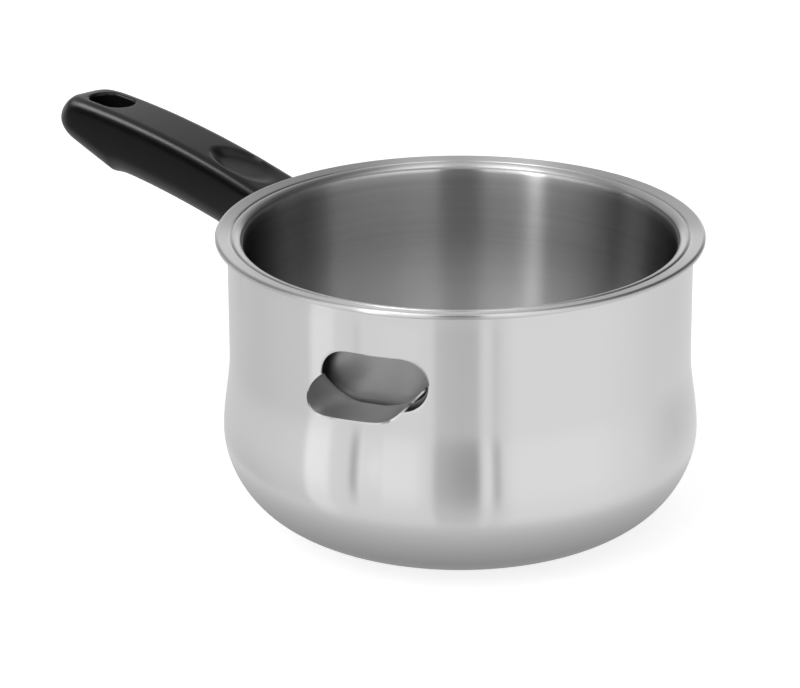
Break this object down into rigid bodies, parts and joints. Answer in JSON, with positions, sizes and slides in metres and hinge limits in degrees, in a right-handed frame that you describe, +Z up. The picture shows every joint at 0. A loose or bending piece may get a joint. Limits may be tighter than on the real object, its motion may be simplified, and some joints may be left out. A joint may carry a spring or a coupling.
{
  "type": "double boiler",
  "caption": "Double-walled steel pan with a lipped water opening in its side and a black moulded grip, for heating milk or sauce gently over a water jacket.",
  "frame": {"origin": "on the pan's axis at the face that it stands on", "axes": "+Z up along the pan's axis, handle along -X, the side opening on the -Y side and turned towards +X"},
  "size_m": [0.3302, 0.1898, 0.1143],
  "materials": {
    "polished_steel": "polished stainless steel sheet",
    "satin_steel": "satin stainless steel sheet",
    "aluminium": "plain",
    "black_phenolic": "semi-gloss moulded",
    "zinc_steel": "zinc-plated"
  },
  "bodies": {
    "root": {"outer_shell": "polished_steel", "inner_vessel": "satin_steel", "base_core": "aluminium", "base_cap": "polished_steel", "handle_bracket": "satin_steel", "handle_grip": "black_phenolic", "handle_screw": "zinc_steel", "screw_washer": "zinc_steel"}
  },
  "joints": []
}
